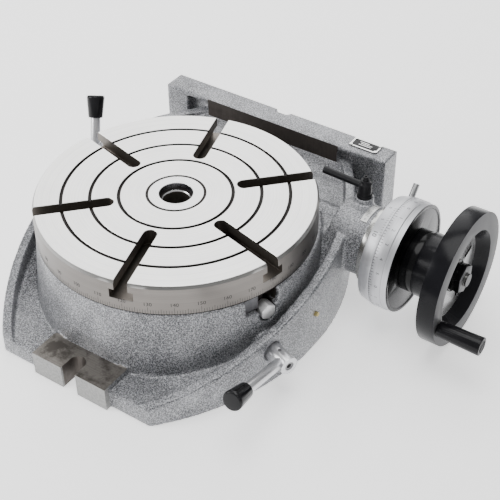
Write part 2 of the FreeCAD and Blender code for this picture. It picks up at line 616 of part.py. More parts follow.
def table_clamp(name, turn, lift):
    """Screw, hub, lever, knob, end screw and hooked shoe of one clamp."""
    angle = SIZES["clamp_angle"] + turn
    drop = SIZES["clamp_throw"] * (RELEASED - lift) / CLAMP_SWING
    pin_angle = math.radians(lift - RELEASED + CLAMP_SWING / 2)
    pin_y = SIZES["clamp_throw"] * math.cos(pin_angle)
    pin_z = "clamp_z + %.5f" % (SIZES["clamp_throw"] * math.sin(pin_angle))
    shank_start = "shoe_outer + 0.3"
    screw = fuse(cylinder("clamp_screw", "wall_face - 2.7 - (%s)" % shank_start,
                          (shank_start, 0, "clamp_z"), "x"),
                 cylinder("clamp_journal", 18, ("wall_face - 3", 0, "clamp_z"), "x"),
                 cylinder("clamp_journal", 12, ("shoe_inner + 1", pin_y, pin_z), "x"))
    node("clamp_screw_" + name, turned(screw, angle))

    hub_start = "wall_face - 2.6"
    hub_end = "wall_face + 21.5"
    hub = cut(cylinder("clamp_hub", "(%s) - (%s)" % (hub_end, hub_start), (hub_start, 0, "clamp_z"), "x"),
              cylinder("clamp_journal", 17.6, (hub_start, 0, "clamp_z"), "x"),
              cylinder(4.2, 8, ("wall_face + 14.7", 0, "clamp_z"), "x"))
    along = lever_direction(lift)
    root = Vector(SIZES["wall_face"] + 12, 0, SIZES["clamp_z"])
    toward = Rotation(UP, along)
    socket_start = root + along * ARM_START
    socket = cylinder("clamp_arm", 20, tuple(socket_start), toward)
    set_hole = cylinder(1.6, 7, (tuple(root)[0] - 4, 0, "clamp_z + 3.5"))
    node("clamp_hub_" + name, turned(cut(hub, socket, set_hole), angle))
    cap = cut(cylinder(4.1, 6, ("wall_face + 15", 0, "clamp_z"), "x"),
              hexagon(4, 4, ("wall_face + 18.4", 0, "clamp_z"), "x"))
    grub = cylinder(1.6, 3.2, (tuple(root)[0] - 4, 0, "clamp_z + 4.05"))
    node("clamp_end_screws_" + name, turned(fuse(cap, grub), angle))
    arm_length = SIZES["clamp_reach"] - SIZES["knob_length"] + KNOB_SOCKET - ARM_START
    arm = cylinder("clamp_arm", arm_length, tuple(socket_start), toward)
    node("clamp_arm_" + name, turned(arm, angle))
    knob_start = root + along * (SIZES["clamp_reach"] - SIZES["knob_length"])
    knob = cut(fuse(cone("knob_small", "knob_large", "knob_length - 1.5", tuple(knob_start),
                         toward),
                    cone("knob_large", "knob_large - 1.3", 1.5,
                         tuple(root + along * (SIZES["clamp_reach"] - 1.5)), toward)),
               cylinder("clamp_arm", KNOB_SOCKET, tuple(knob_start), toward))
    node("clamp_knob_" + name, turned(knob, angle))
    clamp_shoe(name, angle, drop)


def clamp_shoe(name, angle, drop):
    """The hooked shoe that the screw's eccentric end pulls down, and its hexagon bolt."""
    def z(height):
        return "%.4f" % (height - drop)
    across = ("shoe_inner", "shoe_outer")
    top = z(80.9)
    stem = box(across, ("-shoe_half", "shoe_half"), (z(26), z(71)))
    upper = box(across, (-14, "shoe_half"), (z(70), top))
    jaw = box(("shoe_outer - 1", 123.5), (-14, -0.5), (z(67.5), top))
    neck = common(tube("hook_outer - 0.1", "hook_throat + 0.1", 8, (0, 0, z(80))),
                  box((100, 120), (-8, 8), (z(80), z(88))))
    nose = common(tube("hook_outer - 0.1", "hook_inner + 0.2", z(89.5 - 87.52 + drop),
                       (0, 0, z(87.52))), box((100, 120), (-8, 8), (z(86), z(90))))
    slot = box((100, 120), ("clamp_throw * 0.93 - 5.5", "clamp_throw * 0.93 + 5.5"),
               (z(34.5 - 4.05), z(34.5 + 4.05)))
    bolt_z = z(SIZES["shoe_bolt_z"])
    bolt_hole = cylinder(4, 20, (106.5, "shoe_bolt_y", bolt_z), "x")
    shoe = cut(fuse(stem, upper, jaw, neck, nose), slot, bolt_hole)
    node("clamp_shoe_" + name, turned(shoe, angle))
    bolt = fuse(cylinder(4, 12, (107, "shoe_bolt_y", bolt_z), "x"),
                hexagon(13, 11, ("shoe_outer", "shoe_bolt_y", bolt_z), "x"))
    node("shoe_bolt_" + name, turned(bolt, angle))


LOCK_ARM_ANGLE = 178.0
LOCK_ARM_LENGTH = 43
LOCK_STUD_FOOT = 79.2
# Steps of the lock lever's hub: height above its foot, lower radius, upper radius, length.
LOCK_STEPS = ((0, 7.3, 6.8, 2.6), (2.5, 5.9, 5.5, 2.9), (5.3, 6.2, 5.8, 8.3), (13.5, 5.8, 4.5, 1.4),
              (14.8, 4.2, 4.2, 2.2))


def sleeve_lock():
    """The indexable lever that pinches the eccentric sleeve through the housing."""
    foot = SIZES["lock_base"] + 0.1

    def on_stud(height):
        return ("lock_x", "lock_y", foot + height)

    stud_end = foot + 11.6
    node("lock_stud", cylinder(4, stud_end - LOCK_STUD_FOOT, ("lock_x", "lock_y", LOCK_STUD_FOOT)))
    steps = [cone(lower, upper, length, on_stud(height))
             for height, lower, upper, length in LOCK_STEPS]
    hub = cut(fuse(*steps), cylinder(4, 12.2, on_stud(-0.1)), cylinder(2.8, 9, on_stud(13)))
    out = Rotation(UP, Rotation(UP, LOCK_ARM_ANGLE).multVec(Vector(1, 0, 0.01)))
    arm = cut(cone(3.1, 3.4, LOCK_ARM_LENGTH, on_stud(10.2), out),
              cylinder(4.6, 20, on_stud(-0.1)))
    node("lock_lever", fuse(hub, arm))
    screw = fuse(cylinder(2.75, 5, on_stud(13.2)), hexagon(4.4, 2.6, on_stud(18.1)))
    node("lock_screw", cut(screw, cylinder(1, 1.2, on_stud(19.6))))


def small_pieces():
    """Bottom cover, name plate, zero plate, rivets and oilers."""
    def at_screw(height):
        return ("cover_bolt_circle", 0, height)

    blank = cylinder("cover_radius", "cover_thickness", (0, 0, "cover_recess - cover_thickness"))
    draw_bar_hole = cylinder(12, 10, (0, 0, -1))
    screw_holes = around(lambda: fuse(cylinder(2.1, 10, at_screw(-1)),
                                      cylinder(4.2, 1.8, at_screw(0))), 4, 45)
    node("bottom_cover", cut(blank, draw_bar_hole, *screw_holes))
    screws = around(lambda: fuse(cylinder(2, 11, at_screw(0.6)), cylinder(3.9, 1, at_screw(0.7))),
                    4, 45)
    node("cover_screws", fuse(*screws))

    x_span, y_span = [(centre - half, centre + half)
                      for centre, half in zip(NAME_PLATE_CENTRE, NAME_PLATE_HALF)]
    plate = cut(box(x_span, y_span, ("plate_top", "plate_top + 0.8")),
                *[cylinder(0.9, 4, (x, y, "plate_top - 1")) for x, y in plate_rivet_places()])
    node("name_plate", plate)
    rivets = [fuse(cylinder(0.9, 4.8, (x, y, "plate_top - 4")),
                   cylinder(1.5, 0.6, (x, y, "plate_top + 0.8")))
              for x, y in plate_rivet_places()]
    zero_pins = [cylinder(0.8, 5.1, at, turn) for at, turn in zero_rivet_places()]
    node("plate_rivets", fuse(*rivets, *zero_pins))
    arc = common(ring_on_worm("boss_radius + 0.7", "boss_radius", 142.7, 148.9),
                 box((140, 150), ("worm_y - 13", "worm_y + 13"), (80, 110)))
    node("zero_plate", cut(arc, *[cylinder(0.8, 8, at, turn) for at, turn in zero_rivet_places()]))
    oilers = [cut(cylinder(2.1, 7.6, at, turn), sphere(1.4, (side * 145.2, at[1], at[2])))
              for (at, turn), side in zip(OILERS, (1, -1))]
    node("ball_oilers", fuse(*oilers))


base_casting()
table_disc()
table_fittings()
worm_wheel()
worm_shaft()
worm_sleeve()
sleeve_fittings()
shaft_fittings()
handwheel()
for clamp in CLAMPS:
    table_clamp(*clamp)
sleeve_lock()
small_pieces()

doc.recompute()
for thing in doc.Objects:
    if "Invalid" in thing.State or "Error" in thing.State:
        raise RuntimeError("%s (%s) failed: %s" % (thing.Label, thing.Name, thing.State))
os.makedirs("parts", exist_ok=True)
for thing in nodes:
    shape = thing.Shape
    if shape.isNull() or not shape.isValid() or not shape.Solids:
        raise RuntimeError("%s has no valid solid" % thing.Label)
    shape.exportStep("parts/%s.step" % thing.Label)
    low, high = shape.BoundBox.ZMin, shape.BoundBox.ZMax
    print("%-24s %2d solid(s) %10.0f mm3  z %6.1f to %6.1f"
          % (thing.Label, len(shape.Solids), shape.Volume, low, high))
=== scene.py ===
import bpy
import bmesh
import json
import math
import numpy as np
from mathutils import Matrix, Vector, noise

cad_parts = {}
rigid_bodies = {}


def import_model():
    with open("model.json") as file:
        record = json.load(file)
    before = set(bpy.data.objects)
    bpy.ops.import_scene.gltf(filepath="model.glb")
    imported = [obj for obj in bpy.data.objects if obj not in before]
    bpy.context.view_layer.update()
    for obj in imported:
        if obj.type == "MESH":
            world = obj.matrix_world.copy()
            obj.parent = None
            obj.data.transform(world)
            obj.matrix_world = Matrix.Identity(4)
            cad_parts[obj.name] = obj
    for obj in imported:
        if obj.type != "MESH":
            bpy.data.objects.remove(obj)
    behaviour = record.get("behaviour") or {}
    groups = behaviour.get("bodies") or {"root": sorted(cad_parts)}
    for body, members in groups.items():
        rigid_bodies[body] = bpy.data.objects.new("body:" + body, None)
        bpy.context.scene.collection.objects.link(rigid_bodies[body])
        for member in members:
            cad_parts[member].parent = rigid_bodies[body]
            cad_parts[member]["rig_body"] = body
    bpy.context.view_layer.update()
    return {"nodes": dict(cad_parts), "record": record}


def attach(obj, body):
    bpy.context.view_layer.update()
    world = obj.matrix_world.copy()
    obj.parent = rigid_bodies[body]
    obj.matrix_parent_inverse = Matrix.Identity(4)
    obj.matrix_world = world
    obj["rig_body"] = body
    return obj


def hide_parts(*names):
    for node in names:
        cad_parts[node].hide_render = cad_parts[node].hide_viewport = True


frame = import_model()
nodes = frame["nodes"]
SLOTS = {part["node"]: part["material_slot"] for part in frame["record"]["subparts"]}
BODY = {name: node["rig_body"] for name, node in nodes.items()}

# Sizes of the CAD model, in metres. The table turns about Z and the worm about a line along X.
WORM_YZ = (0.088, 0.0638)
TABLE_TOP = 0.1113
TABLE_RADIUS = 0.125
DIAL_RADIUS = 0.051
SKIN = 0.00004


# ---------------------------------------------------------------- node helpers

class Nodes:
    """A material's node tree, with short calls for the nodes used here."""

    def __init__(self, name, color, metallic, roughness, **sockets):
        self.material = bpy.data.materials.new(name)
        self.material.use_nodes = True
        self.tree = self.material.node_tree
        self.shader = self.tree.nodes["Principled BSDF"]
        self.set("Base Color", (*color, 1))
        self.set("Metallic", metallic)
        self.set("Roughness", roughness)
        for socket, value in sockets.items():
            self.set(socket.replace("_", " "), value)
        self.place = self.add("ShaderNodeTexCoord").outputs["Object"]

    def set(self, socket, value):
        self.shader.inputs[socket].default_value = value

    def add(self, kind, **inputs):
        made = self.tree.nodes.new(kind)
        for name, value in inputs.items():
            self.put(made.inputs[name.replace("_", " ")], value)
        return made

    def put(self, socket, value):
        if isinstance(value, bpy.types.NodeSocket):
            self.tree.links.new(value, socket)
        else:
            socket.default_value = value

    def link(self, socket, value):
        self.tree.links.new(value, self.shader.inputs[socket])

    def noise(self, scale, detail=2.0, rough=0.5, where=None):
        made = self.add("ShaderNodeTexNoise", Vector=where or self.place, Scale=scale,
                        Detail=detail, Roughness=rough, Distortion=0.0)
        return made.outputs["Fac"]

    def cells(self, scale, smoothness, where):
        made = self.add("ShaderNodeTexVoronoi", Vector=where, Scale=scale)
        made.feature = "SMOOTH_F1"
        made.inputs["Smoothness"].default_value = smoothness
        return made.outputs["Distance"]

    def stretched(self, x, y, z):
        made = self.add("ShaderNodeMapping", Vector=self.place)
        made.inputs["Scale"].default_value = (x, y, z)
        return made.outputs["Vector"]

    def warped(self, scale, reach):
        """The object's coordinates pushed about by a noise, so that cells aren't regular."""
        push = self.add("ShaderNodeTexNoise", Vector=self.place, Scale=scale, Detail=1.0)
        moved = self.add("ShaderNodeVectorMath")
        moved.operation = "MULTIPLY_ADD"
        self.put(moved.inputs[0], push.outputs["Color"])
        self.put(moved.inputs[1], (reach, reach, reach))
        self.put(moved.inputs[2], self.place)
        return moved.outputs[0]

    def span(self, value, low, high, to_low=0.0, to_high=1.0):
        made = self.add("ShaderNodeMapRange", Value=value)
        for socket, number in zip(("From Min", "From Max", "To Min", "To Max"),
                                  (low, high, to_low, to_high)):
            made.inputs[socket].default_value = number
        return made.outputs["Result"]

    def math(self, how, first, second=0.0):
        made = self.add("ShaderNodeMath")
        made.operation = how
        self.put(made.inputs[0], first)
        self.put(made.inputs[1], second)
        return made.outputs[0]

    def mix(self, factor, first, second, how="MIX"):
        made = self.add("ShaderNodeMix")
        made.data_type = "RGBA"
        made.blend_type = how
        self.put(made.inputs[0], factor)
        for socket, value in ((made.inputs[6], first), (made.inputs[7], second)):
            self.put(socket, (*value, 1) if isinstance(value, tuple) and len(value) == 3 else value)
        return made.outputs[2]

    def bump(self, height, strength, distance, under=None):
        made = self.add("ShaderNodeBump", Height=height, Strength=strength, Distance=distance)
        if under is not None:
            self.put(made.inputs["Normal"], under)
        return made.outputs["Normal"]

    def split(self):
        return self.add("ShaderNodeSeparateXYZ", Vector=self.place).outputs


def radius_from(n, across, along):
    """Distance from an axis, given the two coordinates across it less the axis's own place."""
    squares = [n.math("POWER", n.math("SUBTRACT", value, middle), 2.0)
               for value, middle in zip(across, along)]
    return n.math("SQRT", n.math("ADD", *squares))


def hammered(name, dark, light):
    """Hammered enamel: small bright flakes between darker pits, uneven over the casting."""
    n = Nodes(name, light, 0.35, 0.38, Coat_Weight=0.3, Coat_Roughness=0.15)
    cells = n.cells(900, 0.7, n.warped(300, 0.001))
    fine = n.noise(1700, 3, 0.62)
    mottle = n.math("ADD", n.math("MULTIPLY", cells, 0.6), n.math("MULTIPLY", fine, 0.7))
    patches = n.noise(26, 3, 0.55)
    level = n.math("ADD", mottle, n.span(patches, 0.3, 0.7, -0.07, 0.07))
    n.link("Base Color", n.mix(n.span(level, 0.47, 0.83), dark, light))
    n.link("Roughness", n.span(fine, 0.3, 0.7, 0.28, 0.52))
    low = n.bump(n.noise(150, 2), 0.3, 0.0006)
    n.link("Normal", n.bump(mottle, 0.7, 0.0004, low))
    return n.material


def smooth_paint():
    """The lug's faces, filled and rubbed smooth before they were painted."""
    n = Nodes("smooth_casting", (0.5, 0.5, 0.49), 0.35, 0.42, Coat_Weight=0.3, Coat_Roughness=0.2)
    fine = n.noise(420, 3, 0.6)
    n.link("Base Color", n.mix(n.span(fine, 0.35, 0.7), (0.225, 0.225, 0.22), (0.34, 0.34, 0.33)))
    n.link("Roughness", n.span(n.noise(120), 0.3, 0.7, 0.35, 0.5))
    n.link("Normal", n.bump(fine, 0.25, 0.0003))
    return n.material


def milled(name, color, dark, direction, rough=0.34, metallic=0.9,
           stains=((0.5, 0.78), (0.0, 0.6))):
    """Bare milled iron: fine straight tool lines along one direction and faint stains."""
    n = Nodes(name, color, metallic, rough)
    scale = {"x": (30, 2400, 2400), "y": (2400, 30, 2400), "z": (2400, 2400, 30)}[direction]
    lines = n.noise(1.0, 3, 0.6, n.stretched(*scale))
    stain = n.noise(60, 5, 0.7)
    tone = n.mix(n.span(lines, 0.2, 0.8, 0.0, 0.6), color, dark)
    n.link("Base Color", n.mix(n.span(stain, *stains[0], *stains[1]), tone, dark))
    n.link("Roughness", n.span(stain, 0.3, 0.7, rough - 0.07, rough + 0.12))
    n.link("Normal", n.bump(lines, 0.22, 0.0001))
    return n.material


def turned_metal(name, color, rough, axis="x", centre=(0, 0), metallic=1.0, step=0.9, **sockets):
    """Turned or ground metal: fine rings about an axis, with slight tone and roughness drift."""
    n = Nodes(name, color, metallic, rough, **sockets)
    x, y, z = n.split()
    across = {"x": (y, z), "y": (x, z), "z": (x, y)}[axis]
    along = {"x": x, "y": y, "z": z}[axis]
    radius = radius_from(n, across, centre)
    rings = n.add("ShaderNodeCombineXYZ", X=n.math("MULTIPLY", radius, 2600.0 * step),
                  Y=n.math("MULTIPLY", along, 2600.0 * step)).outputs[0]
    lines = n.noise(1.0, 3, 0.65, rings)
    drift = n.noise(30, 3, 0.5)
    dim = tuple(0.82 * channel for channel in color)
    n.link("Base Color", n.mix(n.span(lines, 0.3, 0.7), dim, color))
    n.link("Roughness", n.span(n.math("ADD", lines, drift), 0.6, 1.4, rough * 0.8, rough * 1.25))
    n.link("Normal", n.bump(lines, 0.12, 0.00006))
    return n.material


def black_finish(name, color, rough, grain=700, strength=0.12, metallic=0.0, **sockets):
    """Paint, blacking or plastic: one even tone that drifts a little, over a fine grain."""
    n = Nodes(name, color, metallic, rough, **{"Specular_IOR_Level": 0.14, **sockets})
    grain_map = n.noise(grain, 3, 0.55)
    drift = n.noise(25, 3, 0.5)
    lighter = tuple(min(1.0, 1.7 * channel + 0.004) for channel in color)
    n.link("Base Color", n.mix(n.span(drift, 0.35, 0.75), color, lighter))
    n.link("Roughness", n.span(drift, 0.3, 0.7, rough * 0.85, rough * 1.2))
    n.link("Normal", n.bump(grain_map, strength, 0.0001))
    return n.material


def cast_bronze(name, color, rough):
    """Bearing or wheel bronze, with soft spots."""
    n = Nodes(name, color, 1.0, rough)
    spots = n.noise(220, 4, 0.6)
    n.link("Base Color", n.mix(n.span(spots, 0.35, 0.7), tuple(0.7 * c for c in color), color))
    n.link("Roughness", n.span(spots, 0.3, 0.7, rough * 0.8, rough * 1.3))
    n.link("Normal", n.bump(spots, 0.15, 0.0001))
    return n.material


MATERIALS = {
    "hammered_casting": hammered("hammered_casting", (0.045, 0.047, 0.053), (0.44, 0.445, 0.465)),
    "ground_iron": turned_metal("ground_iron", (0.86, 0.855, 0.84), 0.34, "z", step=0.5),
    "ground_steel": turned_metal("ground_steel", (0.55, 0.55, 0.53), 0.24, "x", WORM_YZ),
    "centre_steel": turned_metal("centre_steel", (0.80, 0.80, 0.80), 0.26, "z"),
    "machined_steel": turned_metal("machined_steel", (0.42, 0.425, 0.43), 0.36, "x", WORM_YZ),
    "steel_plate": milled("steel_plate", (0.55, 0.56, 0.57), (0.4, 0.4, 0.41), "x"),
    "fastener_steel": turned_metal("fastener_steel", (0.22, 0.22, 0.225), 0.32, "z"),
    "rivet_steel": turned_metal("rivet_steel", (0.82, 0.82, 0.81), 0.22, "z"),
    "plate_black": black_finish("plate_black", (0.012, 0.012, 0.013), 0.32),
    "zero_plate_metal": turned_metal("zero_plate_metal", (0.6, 0.6, 0.59), 0.36, "x", WORM_YZ),
    "oiler_brass": turned_metal("oiler_brass", (0.70, 0.58, 0.26), 0.3, "x", (0.0045, 0.038)),
    "bearing_bronze": cast_bronze("bearing_bronze", (0.58, 0.38, 0.18), 0.4),
    "wheel_bronze": cast_bronze("wheel_bronze", (0.64, 0.44, 0.20), 0.33),
    "satin_chrome": turned_metal("satin_chrome", (0.62, 0.625, 0.65), 0.42, "x", WORM_YZ,
                                 metallic=0.8, step=0.6),
    "black_metal": black_finish("black_metal", (0.003, 0.003, 0.0035), 0.16, 900, 0.03,
                                Coat_Weight=0.05, Coat_Roughness=0.1),
    "black_wheel": black_finish("black_wheel", (0.004, 0.004, 0.0055), 0.24, 700, 0.04,
                                Coat_Weight=0.05, Coat_Roughness=0.15),
    "black_grip": black_finish("black_grip", (0.006, 0.0058, 0.007), 0.22, 600, 0.03,
                               Coat_Weight=0.05, Coat_Roughness=0.1),
    "black_lever": black_finish("black_lever", (0.005, 0.005, 0.006), 0.34, 1500, 0.35,
                                Coat_Weight=0.1, Coat_Roughness=0.2),
    "bright_lever": turned_metal("bright_lever", (0.72, 0.72, 0.74), 0.3, "z", metallic=0.85,
                                 step=0.4),
    "knob_plastic": black_finish("knob_plastic", (0.007, 0.007, 0.008), 0.16, 500, 0.03,
                                 Coat_Weight=0.2, Coat_Roughness=0.06),
    "shoe_iron": milled("shoe_iron", (0.17, 0.17, 0.18), (0.05, 0.05, 0.055), "z", 0.42, 0.7),
}
# Bare brown milled iron darkened as painted shade, for the plate's machined front face and the
# inner walls of the clamp window.
SHADED_BROWN_IRON = milled("brown_milled_painted_shade", (0.115, 0.10, 0.09), (0.035, 0.03, 0.027), "z", 0.42, 0.75)
LUG_TOP = milled("lug_milled", (0.235, 0.22, 0.20), (0.06, 0.053, 0.047), "x", 0.4, 0.8,
                 ((0.45, 0.62), (0.0, 0.9)))
# The lug slot's milled walls: the top's brown iron painted darker as shade in the slot.
LUG_SLOT_SHADED = milled("lug_slot_painted_shade", (0.12, 0.105, 0.095), (0.04, 0.035, 0.03), "z", 0.42, 0.75)
LUG_SIDE = smooth_paint()
RIM_IRON = turned_metal("rim_iron", (0.215, 0.20, 0.187), 0.33, "z", step=0.35)
# Near-black for grooves, gaps, joints and the web's holes, and painted shade on the sleeve's ledge
# and side, the rim's foot and the shoe's foot.
GAP_AND_SHADE = black_finish("gap_and_painted_shade", (0.012, 0.010, 0.009), 0.5, metallic=0.3)
SLOT_IRON = milled("slot_iron", (0.205, 0.185, 0.165), (0.07, 0.06, 0.05), "z", 0.36, 0.85)
BORE_STEEL = turned_metal("bore_steel", (0.27, 0.27, 0.29), 0.22, "z")
EDGE_IRON = turned_metal("edge_iron", (0.36, 0.355, 0.345), 0.3, "z", step=0.35)
HUB_SILVER = turned_metal("hub_silver", (0.42, 0.42, 0.425), 0.26, "x", WORM_YZ)
# The wheel rim's outer face is painted grey as a painted sheen on the black paint.
WHEEL_FACE_SHEEN = black_finish("wheel_face_painted_sheen", (0.075, 0.075, 0.078), 0.42, 700, 0.05)
NUT_FACE = black_finish("nut_face", (0.06, 0.06, 0.063), 0.34, metallic=0.35)
GRIP_SCREW = black_finish("grip_screw", (0.022, 0.022, 0.024), 0.42, strength=0.03,
                          Specular_IOR_Level=0.1)
# Dark steel for the dial's and hub's faces: a painted reflection of the black hub and wheel in
# their silver faces.
DIAL_FACE_REFLECTION = turned_metal("dial_face_painted_reflection", (0.07, 0.07, 0.073), 0.26, "x", WORM_YZ, step=0.5)
BOLT_STEEL = turned_metal("bolt_steel", (0.85, 0.85, 0.85), 0.4, "x", metallic=0.6)
INK = black_finish("ink", (0.02, 0.02, 0.022), 0.6)
ETCHED = turned_metal("etched_bright", (0.82, 0.82, 0.81), 0.28, "z")


def paint(thing, *materials):
    """Give an object these materials and no others."""
    thing.data.materials.clear()
    for material in materials:
        thing.data.materials.append(material)


for name, node in nodes.items():
    paint(node, MATERIALS[SLOTS[name]])

SHAFT_END = 0.242
shaft = nodes["worm_shaft"]
shaft.data.materials.append(NUT_FACE)
for face in shaft.data.polygons:
    if face.normal.x > 0.7 and face.center.x > SHAFT_END:
        face.material_index = 1


# ---------------------------------------------------------------- mesh helpers

def piece(name, mesh, body, slot, material=None, stands_for=(), rule=None):
    """Put a finished mesh in the scene as a piece of the object, in its slot's own material
    unless another is given. A rule gives each face's material by its centre and normal."""
    thing = bpy.data.objects.new(name, mesh)
    bpy.context.scene.collection.objects.link(thing)
    if rule:
        chosen = [rule(face.center, face.normal) for face in mesh.polygons]
    else:
        chosen = [material or MATERIALS[slot]] * len(mesh.polygons)
    paint(thing, *dict.fromkeys(chosen))
    number = {used: index for index, used in enumerate(mesh.materials)}
    mesh.polygons.foreach_set("material_index", [number[used] for used in chosen])
    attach(thing, body)
    if stands_for:
        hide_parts(*stands_for)
    return thing


def evaluated(thing):
    """The object's mesh with its modifiers applied; the object is removed."""
    bpy.context.view_layer.update()
    graph = bpy.context.evaluated_depsgraph_get()
    mesh = bpy.data.meshes.new_from_object(thing.evaluated_get(graph))
    bpy.data.objects.remove(thing)
    return mesh


def smooth(mesh, angle=35):
    """Shade a mesh smoothly, except at edges sharper than an angle in degrees."""
    mesh.polygons.foreach_set("use_smooth", [True] * len(mesh.polygons))
    mesh.set_sharp_from_angle(angle=math.radians(angle))


def modified(mesh, *steps):
    """A mesh after some modifiers, each given as its type and settings."""
    thing = bpy.data.objects.new("raw", mesh)
    bpy.context.scene.collection.objects.link(thing)
    for kind, settings in steps:
        modifier = thing.modifiers.new(kind, kind)
        for key, value in settings.items():
            setattr(modifier, key, value)
    return evaluated(thing)


def merged_copy(name):
    """A copy of a CAD node's mesh with its flat faces made whole again."""
    mesh = nodes[name].data.copy()
    form = bmesh.new()
    form.from_mesh(mesh)
    bmesh.ops.remove_doubles(form, verts=form.verts, dist=1e-6)
    bmesh.ops.dissolve_limit(form, angle_limit=math.radians(0.3), verts=form.verts,
                             edges=form.edges, use_dissolve_boundaries=False)
    form.to_mesh(mesh)
    form.free()
    return mesh


def soften(name, width, rule=None, material=None, segments=2, angle=30, sharp=35):
    """Stand a copy of a CAD node in its place, with its edges broken by a small round."""
    bevel = dict(width=width, segments=segments, limit_method="ANGLE",
                 angle_limit=math.radians(angle), use_clamp_overlap=True)
    made = modified(merged_copy(name), ("BEVEL", bevel))
    smooth(made, sharp)
    return piece(name + "_finished", made, BODY[name], SLOTS[name], material,
                 stands_for=(name,), rule=rule)


def from_worm(point):
    """The distance from the worm's axis."""
    return math.hypot(point.y - WORM_YZ[0], point.z - WORM_YZ[1])


# ---------------------------------------------------------------- base casting

LUG = dict(side=0.0398, front=-0.1572, rear=-0.128, top=0.0234)
LUG_BOLT = dict(radius=0.0087, end=-0.145)
PLATE = dict(face=0.150, rear=0.1733, pad_half=0.0743, pad_foot=0.081)
BOSS_END = 0.1523
DRUM = dict(bore=0.1195, ledge=0.1235, wall=0.1245, top=0.083)
VOXEL = 0.0013
# How far from its plane a point may be and still belong to a machined face.
CAST_REST = 0.00115

# Boxes that each hold the faces of one finish or of painted shade, a little larger than the faces
# themselves.
LUG_TOP_BOX = dict(x=(-0.0404, 0.0404), y=(-1, -0.1272), z=(0.0226, 1))
LUG_FRONT_BOX = dict(x=(-0.0407, 0.0407), y=(-1, -0.156))
PAD_BOX = dict(x=(-0.0745, 0.0745), y=(0.149, 0.151), z=(0.0795, 1))
BOSS_END_BOX = dict(x=(0.1515, 1), z=(0.02, 1))
WINDOW_BOX = dict(z=(0.05, 0.0815))
DRUM_BOX = dict(z=(-1, 0.0835))
REAR_BOX = dict(y=(0.1725, 1))
FOOT_BOX = dict(z=(-1, 0.0006))


def flatten_machined(points):
    """Press the machined faces back to their planes; tells which points lie on them."""
    x, y, z = points.T.copy()
    on_lug = (np.abs(x) < LUG["side"] + CAST_REST) & (y < LUG["rear"] + 0.001)
    on_pad = (np.abs(x) < PLATE["pad_half"]) & (z > PLATE["pad_foot"])
    anywhere = np.ones(len(points), bool)
    fixed = z < CAST_REST
    points[fixed, 2] = 0.0
    for axis, plane, area in ((2, LUG["top"], on_lug), (1, LUG["front"], on_lug),
                              (0, LUG["side"], on_lug), (0, -LUG["side"], on_lug),
                              (1, PLATE["rear"], anywhere), (0, BOSS_END, anywhere),
                              (1, PLATE["face"], on_pad)):
        near = area & (np.abs((x, y, z)[axis] - plane) < CAST_REST)
        points[near, axis] = plane
        fixed |= near
    return fixed


def cast_surface():
    """The casting with rounded cast edges, small dents and crisp machined faces."""
    voxels = dict(mode="VOXEL", voxel_size=VOXEL, adaptivity=0.0)
    mesh = modified(merged_copy("base_casting"), ("REMESH", voxels),
                    ("SMOOTH", dict(factor=0.5, iterations=5)))
    count = len(mesh.vertices)
    flat = np.empty(count * 3)
    mesh.vertices.foreach_get("co", flat)
    points = flat.reshape(-1, 3)
    inside = (np.hypot(points[:, 0], points[:, 1]) < DRUM["ledge"]) & (points[:, 2] < DRUM["top"])
    loose = np.flatnonzero(~flatten_machined(points) & ~inside)
    normals = np.empty(count * 3)
    mesh.vertices.foreach_get("normal", normals)
    normals = normals.reshape(-1, 3)
    for index in loose:
        place = Vector(points[index])
        dent = noise.noise(place * 170) * 0.00016 + noise.noise(place * 420) * 0.00009
        points[index] += normals[index] * (dent - 0.00008)
    points[:, 2] = np.maximum(points[:, 2], 0)
    mesh.vertices.foreach_set("co", points.ravel())
    mesh.update()
    smooth(mesh, 60)
    return mesh


def within(place, x=(-1, 1), y=(-1, 1), z=(-1, 1)):
    """Whether a place is in a box, given by its limits along each axis."""
    return all(low < value < high for value, (low, high) in zip(place, (x, y, z)))


def cast_rule(centre, normal):
    """The finish of one face of the casting, from hammered enamel to bare milled iron, with painted
    shade on the lug's slot, the plate's machined face and the window's walls.
    """
    x, y, z = centre
    radius = math.hypot(x, y)
    upright = abs(normal.z) < 0.7
    if within(centre, **LUG_TOP_BOX) and normal.z > 0.8:
        return LUG_TOP
    in_slot = math.hypot(x, max(0, y - LUG_BOLT["end"])) < LUG_BOLT["radius"]
    on_front = within(centre, **LUG_FRONT_BOX)
    # Painted shade on the slot's walls.
    if in_slot and upright and z > 0.0005 and y > LUG_FRONT_BOX["y"][1]:
        return LUG_SLOT_SHADED
    if on_front or (abs(abs(x) - LUG["side"]) < 0.0009 and y < LUG["front"] + 0.0047):
        return LUG_SIDE
    # Painted shade: the plate's machined front face is bare brown iron painted darker.
    if within(centre, **PAD_BOX) and normal.y < -0.6:
        return SHADED_BROWN_IRON
    if within(centre, **BOSS_END_BOX) and normal.x > 0.8:
        return MATERIALS["steel_plate"]
    faces_out = normal.x * x + normal.y * y > 0.09
    # Painted shade: the inner walls of the clamp window are painted dark.
    if DRUM["bore"] < radius < DRUM["wall"] and within(centre, **WINDOW_BOX) and (
            upright and not faces_out):
        return SHADED_BROWN_IRON
    if radius < DRUM["bore"] and within(centre, **DRUM_BOX):
        return SLOT_IRON
    ground = within(centre, **REAR_BOX) or within(centre, **FOOT_BOX)
    return MATERIALS["steel_plate" if ground else "hammered_casting"]


piece("base_casting_finished", cast_surface(), "base", "hammered_casting",
      stands_for=("base_casting",), rule=cast_rule)


# ---------------------------------------------------------------- table

NEAR = 0.0002
RING_FLOOR = 0.1093
RING_REACH = 0.104
RIM_INSIDE = 0.1227
JOINT_EDGE = 0.0235
COUNTERBORE = 0.006
LEAD = 0.0014


